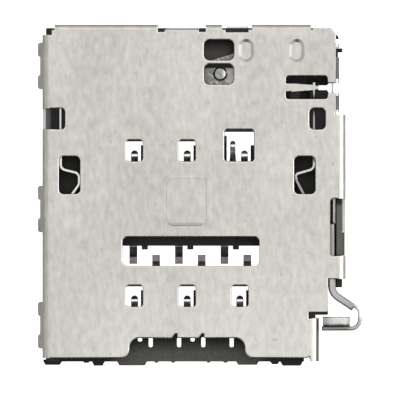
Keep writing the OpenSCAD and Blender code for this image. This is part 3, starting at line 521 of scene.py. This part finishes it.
# Painted highlight along the push pad's top.
PAD_HIGHLIGHT = Patch((6.4, 7.75), (-6.22, -5.80), 0.06, (0.56, 0.55, 0.535))
ROD_STEEL = Finish(
    "rod_tumbled_steel", (0.60, 0.59, 0.57), (0.44, 0.43, 0.41), (0.22, 0.36), (8.0, 3.0, 8.0), 0.0012,
    patches=(FLANGE_SHADE, PAD_SHADE, ROD_FRONT_SHADE, BEND_SHADE, ARM_SHADE, WAIST_SHADE))
# Painted shade: a darker copy of the rod's steel on its rounded edges, with painted highlights and shade laid
# over it.
ROD_EDGE_SHADE = Finish(
    "rod_edge_painted_shade", (0.25, 0.245, 0.237), (0.17, 0.167, 0.16), (0.34, 0.48), (9.0, 9.0, 9.0), 0.0012,
    patches=(HOOK_HIGHLIGHT, ROD_REAR_HIGHLIGHT, PAD_HIGHLIGHT, PAD_SHADE, BEND_SHADE))
# A lighter tone on the lever's right part.
LIGHTER_LEVER_RIGHT = Patch((1.92, 3.0), (5.2, 6.4), 0.14, (0.36, 0.352, 0.337))
SHADED_LEVER = Patch((0.6, 2.6), (6.14, 6.40), 0.03, (0.022, 0.0215, 0.020))
LEVER_STEEL = RubbedSteel(
    "lever_rubbed_steel", (0.24, 0.235, 0.225), (0.13, 0.127, 0.12), (0.34, 0.50), (5.0, 5.0, 5.0), 0.0020,
    patches=(LIGHTER_LEVER_RIGHT, SHADED_LEVER))
# Painted highlight: a bright crescent on the rivet head's right side.
RIVET_RIGHT_HIGHLIGHT = Patch((1.76, 2.1), (5.66, 6.08), 0.08, (0.74, 0.73, 0.71))
RIVET_STEEL = Finish(
    "rivet_turned_steel", (0.28, 0.275, 0.263), (0.19, 0.186, 0.178), (0.20, 0.32), (6.0, 6.0, 6.0), 0.0016,
    patches=(RIVET_RIGHT_HIGHLIGHT,))


@dataclass
class MeshGraph(Nodes):
    """Node group that changes how a mesh is marked, with one mesh in and one out."""

    @classmethod
    def named(cls, name: str) -> MeshGraph:
        """Makes an empty group with its two ends."""
        tree = bpy.data.node_groups.new(name, "GeometryNodeTree")
        for way in ("INPUT", "OUTPUT"):
            tree.interface.new_socket("Mesh", in_out=way, socket_type="NodeSocketGeometry")
        return cls(tree)

    def test(self, value: Socket, operation: str, number: float) -> Socket:
        """Compares a value with a number."""
        node = self.add("FunctionNodeCompare", operation=operation)
        node.inputs[1].default_value = number
        if operation == "EQUAL":
            node.inputs["Epsilon"].default_value = EDGE_SLACK
        self.link(value, node.inputs[0])
        return node.outputs[0]

    def both(self, first: Socket, second: Socket) -> Socket:
        """True where two tests are true."""
        node = self.add("FunctionNodeBooleanMath", operation="AND")
        self.link(first, node.inputs[0])
        self.link(second, node.inputs[1])
        return node.outputs[0]

    def level(self, normal: Socket) -> Socket:
        """True where a face lies level and looks up."""
        return self.test(self.part(normal, Axis.Z), "GREATER_THAN", LEVEL_NORMAL)

    def finish(self, node: bpy.types.Node) -> bpy.types.NodeTree:
        """Runs the mesh through one node.

        Args:
            node: the node that changes the mesh.

        Returns:
            The finished group.
        """
        self.link(self.add("NodeGroupInput").outputs[0], node.inputs[0])
        self.link(node.outputs[0], self.add("NodeGroupOutput").inputs[0])
        return self.tree


def edge_choice(edges: EdgeForm) -> bpy.types.NodeTree:
    """Makes the group that gives weight 1 to the outward edges that were rounded, and 0 to all others.

    Args:
        edges: the form of the edges, which says how high they are and whether they are level.

    Returns:
        The node group.
    """
    form = edges.value
    graph = MeshGraph.named(f"{edges.name.lower()}_edges")
    angle = graph.add("GeometryNodeInputMeshEdgeAngle")
    chosen = graph.test(angle.outputs["Signed Angle"], "GREATER_THAN", math.radians(ROUNDED_DEG))
    ends = graph.add("GeometryNodeInputMeshEdgeVertices")
    first, second = (graph.part(ends.outputs[name], Axis.Z) for name in ("Position 1", "Position 2"))
    chosen = graph.both(chosen, graph.test(first, "GREATER_THAN", form.above_mm * MM))
    if form.level:
        chosen = graph.both(chosen, graph.test(graph.math("SUBTRACT", first, second), "EQUAL", 0.0))
    store = graph.add("GeometryNodeStoreNamedAttribute", data_type="FLOAT", domain="EDGE")
    store.inputs["Name"].default_value = EDGE_WEIGHT
    graph.link(chosen, store.inputs["Value"])
    return graph.finish(store)


def smooth_bends(edges: EdgeForm) -> bpy.types.NodeTree:
    """Makes the group that lets bends shade smoothly and keeps edges past an angle sharp.

    Args:
        edges: the form of the edges, which gives the angle.

    Returns:
        The node group.
    """
    graph = MeshGraph.named(f"{edges.name.lower()}_bends")
    angle = graph.add("GeometryNodeInputMeshEdgeAngle")
    normals = graph.add("GeometryNodeSetMeshNormal")
    normals.inputs["Remove Custom"].default_value = True
    sharp = graph.test(angle.outputs["Unsigned Angle"], "GREATER_THAN", math.radians(edges.value.sharp_deg))
    graph.link(sharp, normals.inputs["Edge Sharpness"])
    return graph.finish(normals)


def level_shading() -> bpy.types.NodeTree:
    """Makes the group that lets level faces shade flat up to their rims.

    Returns:
        The node group.
    """
    graph = MeshGraph.named("level_shading")
    normal = graph.add("GeometryNodeInputNormal")
    smooth, flat = normal.outputs["Normal"], normal.outputs["True Normal"]
    choice = graph.add("GeometryNodeSwitch", input_type="VECTOR")
    for name, source in (("Switch", graph.level(flat)), ("False", smooth), ("True", flat)):
        graph.link(source, choice.inputs[name])
    normals = graph.add("GeometryNodeSetMeshNormal", mode="FREE", domain="CORNER")
    graph.link(choice.outputs[0], normals.inputs["Custom Normal"])
    return graph.finish(normals)


def cut_faces(slot: int) -> bpy.types.NodeTree:
    """Makes the group that gives the walls' level cut edges a material slot of their own.

    Args:
        slot: the material slot.

    Returns:
        The node group.
    """
    graph = MeshGraph.named("cut_faces")
    level = graph.level(graph.add("GeometryNodeInputNormal").outputs[0])
    height = graph.part(graph.add("GeometryNodeInputPosition").outputs[0], Axis.Z)
    low, high = (end * MM for end in CUT_Z_MM)
    between = graph.both(graph.test(height, "GREATER_THAN", low), graph.test(height, "LESS_THAN", high))
    store = graph.add("GeometryNodeSetMaterialIndex")
    store.inputs["Material Index"].default_value = slot
    graph.link(graph.both(level, between), store.inputs["Selection"])
    return graph.finish(store)


@dataclass
class Workshop:
    """The node groups that the pieces share, each made once."""

    choices: dict[EdgeForm, bpy.types.NodeTree]
    bends: dict[EdgeForm, bpy.types.NodeTree]
    level: bpy.types.NodeTree

    @classmethod
    def open(cls) -> Workshop:
        """Makes every group."""
        return cls({edges: edge_choice(edges) for edges in EdgeForm},
                   {edges: smooth_bends(edges) for edges in EdgeForm}, level_shading())


@dataclass
class Piece:
    """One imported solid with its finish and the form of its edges.

    Attributes:
        node: the solid's name in the pack.
        finish: the material of its faces.
        edges: the form of its edges.
        edge_finish: the material of its rounded edges, if they have their own.
        cut_finish: the material of its walls' cut edges, if they have their own.
    """

    node: str
    finish: bpy.types.Material
    edges: EdgeForm
    edge_finish: bpy.types.Material | None = None
    cut_finish: bpy.types.Material | None = None

    def dress(self, solid: bpy.types.Object, shop: Workshop) -> None:
        """Gives the solid its materials, merges its loose triangles, rounds its edges and smooths its bends.

        Args:
            solid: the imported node's object. Its mesh stays as it is.
            shop: the node groups that mark edges.
        """
        slots = [finish for finish in (self.finish, self.edge_finish, self.cut_finish) if finish is not None]
        solid.data.materials.clear()
        for material in slots:
            solid.data.materials.append(material)
        form = self.edges.value
        steps = [
            ("merged_corners", "WELD", {"merge_threshold": MERGE_MM * MM}),
            ("flat_faces", "DECIMATE", {"decimate_type": "DISSOLVE", "angle_limit": math.radians(FLAT_DEG)}),
        ]
        if self.cut_finish is not None:
            steps.append(("cut_edges", "NODES", {"node_group": cut_faces(len(slots) - 1)}))
        steps += [
            ("chosen_edges", "NODES", {"node_group": shop.choices[self.edges]}),
            ("worn_edges", "BEVEL", {"width": form.width_mm * MM, "segments": form.segments,
                                     "limit_method": "WEIGHT", "edge_weight": EDGE_WEIGHT,
                                     "use_clamp_overlap": False, "loop_slide": False,
                                     "material": -1 if self.edge_finish is None else 1}),
            ("smooth_bends", "NODES", {"node_group": shop.bends[self.edges]}),
            ("even_shading", "WEIGHTED_NORMAL", {"keep_sharp": True}),
            ("level_shading", "NODES", {"node_group": shop.level}),
        ]
        for name, kind, settings in steps:
            step = solid.modifiers.new(name, kind)
            for setting, value in settings.items():
                setattr(step, setting, value)
        LOG.info("%s: %s, %s edges", self.node, self.finish.name, self.edges.name.lower())


@dataclass
class Cover:
    """The folded steel cover, with die-rolled rims round its windows."""

    node: str = "cover_shell"

    def pieces(self) -> list[Piece]:
        """The cover's solid with its three finishes."""
        return [Piece(self.node, COVER_SHEET.material(), EdgeForm.DIE_ROLLED, COVER_EDGE_SHEEN.material(),
                      COVER_CUT.material())]


@dataclass
class Housing:
    """The black moulded base."""

    node: str = "housing"

    def pieces(self) -> list[Piece]:
        """The moulding's solid with its finish."""
        return [Piece(self.node, HOUSING_PLASTIC.material(), EdgeForm.MOULDED)]


@dataclass
class ContactSet:
    """The sprung contacts of both rows and the detect contact."""

    rows: tuple[str, ...] = ("rear", "front")
    places: tuple[str, ...] = ("left", "mid", "right")
    detect: str = "detect_contact"

    def pieces(self) -> list[Piece]:
        """All contacts, in one plating."""
        plating = CONTACT_PLATING.material()
        names = [f"contact_{row}_{place}" for row in self.rows for place in self.places]
        return [Piece(name, plating, EdgeForm.SHEARED) for name in (*names, self.detect)]


@dataclass
class DetentSprings:
    """The two strips on edge that click into the tray."""

    sides: tuple[str, ...] = ("left", "right")

    def pieces(self) -> list[Piece]:
        """Both springs, in one strip steel."""
        strip = SPRING_STRIP.material()
        return [Piece(f"{side}_detent_spring", strip, EdgeForm.SHEARED) for side in self.sides]


@dataclass
class Ejector:
    """The push rod, the lever and the rivet that it turns on."""

    rod: str = "eject_rod"
    lever: str = "eject_lever"
    rivet: str = "lever_rivet"

    def pieces(self) -> list[Piece]:
        """The ejector's three solids, each in its own steel."""
        return [
            Piece(self.rod, ROD_STEEL.material(), EdgeForm.TUMBLED, ROD_EDGE_SHADE.material()),
            Piece(self.lever, LEVER_STEEL.material(), EdgeForm.SHEARED),
            Piece(self.rivet, RIVET_STEEL.material(), EdgeForm.TURNED),
        ]


@dataclass(frozen=True)
class SoftBox:
    """A square soft light that faces the socket."""

    name: str
    place: Triple
    size: float
    radiance: float

    def light(self, aim: Triple) -> bpy.types.Object:
        """Makes the light.

        Args:
            aim: the point that it faces.

        Returns:
            The light's object.
        """
        data = bpy.data.lights.new(self.name, "AREA")
        data.shape = "SQUARE"
        data.size = self.size
        data.energy = math.pi * self.size ** 2 * self.radiance
        lamp = bpy.data.objects.new(self.name, data)
        lamp.location = self.place
        towards = np.subtract(aim, self.place)
        across = math.atan2(towards[1], towards[0])
        down = math.atan2(math.hypot(towards[0], towards[1]), -towards[2])
        lamp.rotation_euler = (0.0, -down, across)
        bpy.context.scene.collection.objects.link(lamp)
        return lamp


@dataclass
class Room:
    """Dim walls round the socket, each with its own grey, and the darker part below the table's level.

    Attributes:
        left, right, front, rear: greys of the walls.
        below: share of them that is left below the table.
        across_span, along_span, under_span: parts of a direction between which the greys change.
        lean_span: how far a direction leans across where the side walls take over from front and rear.
    """

    left: float = 1.00
    right: float = 1.25
    front: float = 0.10
    rear: float = 0.98
    below: float = 0.60
    across_span: Pair = (-0.4, 0.4)
    along_span: Pair = (-0.3, 0.3)
    under_span: Pair = (-0.1, 0.1)
    lean_span: Pair = (0.15, 0.6)

    def build(self) -> None:
        """Makes the world: the greys across and along are mixed by how far a direction leans across."""
        world = bpy.data.worlds.new("room")
        world.use_nodes = True
        sky = Nodes(world.node_tree)
        way = sky.add("ShaderNodeTexCoord").outputs["Generated"]
        x, y, z = (sky.part(way, axis) for axis in Axis)
        across = sky.spread(x, self.across_span, (self.left, self.right))
        along = sky.spread(y, self.along_span, (self.front, self.rear))
        under = sky.spread(z, self.under_span, (self.below, 1.0))
        lean = sky.spread(sky.math("ABSOLUTE", x), self.lean_span)
        walls = sky.add("ShaderNodeMix")
        for name, source in (("Factor", lean), ("A", along), ("B", across)):
            sky.link(source, walls.inputs[name])
        grey = sky.math("MULTIPLY", walls.outputs[0], under)
        sky.link(grey, sky.tree.nodes["Background"].inputs["Color"])
        bpy.context.scene.world = world


@dataclass
class Studio:
    """Pale floor, soft lights and a camera that looks straight down."""

    view_w: float = 19.26 * MM
    view_mid: Pair = (0.616 * MM, -0.217 * MM)
    camera_h: float = 0.40
    clip: Pair = (0.01, 10.0)
    sensor: float = 36.0
    floor_w: float = 3.0
    floor_z: float = -0.03 * MM
    floor_points: int = 9
    floor_colour: Colour = (0.9, 0.9, 0.9)
    floor_roughness: float = 0.9
    floor_glow: float = 1.05
    boxes: tuple[SoftBox, ...] = (
        SoftBox("overhead_box", (0.02, 0.20, 0.75), 0.86, 1.00),
        SoftBox("right_box", (0.60, 0.02, 0.40), 0.46, 2.6),
    )

    def paint(self) -> bpy.types.Material:
        """Makes the floor's white paint, which glows a little so that the floor stays white."""
        material = bpy.data.materials.new("floor_white")
        material.use_nodes = True
        shader = material.node_tree.nodes["Principled BSDF"]
        shader.inputs["Base Color"].default_value = (*self.floor_colour, 1.0)
        shader.inputs["Roughness"].default_value = self.floor_roughness
        shader.inputs["Emission Color"].default_value = (1.0, 1.0, 1.0, 1.0)
        shader.inputs["Emission Strength"].default_value = self.floor_glow
        return material

    def floor(self) -> bpy.types.Object:
        """Makes the floor: a square grid whose height is the same everywhere.

        Returns:
            The floor's object.
        """
        n = self.floor_points
        side = np.linspace(-0.5, 0.5, n) * self.floor_w
        x, y = np.meshgrid(side, side)
        points = np.stack([x.ravel(), y.ravel(), np.full(x.size, self.floor_z)], axis=1)
        first = (np.arange(n - 1)[:, None] * n + np.arange(n - 1)[None, :]).ravel()
        faces = np.stack([first, first + 1, first + n + 1, first + n], axis=1)
        mesh = bpy.data.meshes.new("floor")
        mesh.from_pydata(points.tolist(), [], faces.tolist())
        mesh.materials.append(self.paint())
        floor = bpy.data.objects.new("floor", mesh)
        bpy.context.scene.collection.objects.link(floor)
        floor.visible_glossy = False
        floor.visible_diffuse = False
        floor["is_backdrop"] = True
        return floor

    def camera(self, height: float) -> bpy.types.Object:
        """Makes the camera.

        Args:
            height: height of the surface that the view's width is measured on.

        Returns:
            The camera's object.
        """
        data = bpy.data.cameras.new("camera")
        data.sensor_width = self.sensor
        data.lens = self.sensor * (self.camera_h - height) / self.view_w
        data.clip_start, data.clip_end = self.clip
        camera = bpy.data.objects.new("camera", data)
        camera.location = (*self.view_mid, self.camera_h)
        bpy.context.scene.collection.objects.link(camera)
        bpy.context.scene.camera = camera
        return camera

    def build(self, top: float) -> None:
        """Makes the whole studio.

        Args:
            top: height of the socket's top face.
        """
        self.floor()
        Room().build()
        for box in self.boxes:
            box.light((0.0, 0.0, top))
        self.camera(top)
        view = bpy.context.scene.view_settings
        view.view_transform = "Standard"
        view.look = "None"


def corners(box: tuple) -> list[list[float]]:
    """Lists a box's lowest and highest corner as plain numbers."""
    return [[float(v) for v in corner] for corner in box]


def main() -> None:
    """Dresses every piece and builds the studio."""
    logging.basicConfig(level=logging.INFO, format="%(name)s: %(message)s")
    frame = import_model()
    cad_box = corners(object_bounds())
    shop = Workshop.open()
    for part in (Cover(), Housing(), ContactSet(), DetentSprings(), Ejector()):
        for piece in part.pieces():
            piece.dress(frame["nodes"][piece.node], shop)
    Studio().build(cad_box[1][2])


if __name__ == "__main__":
    main()
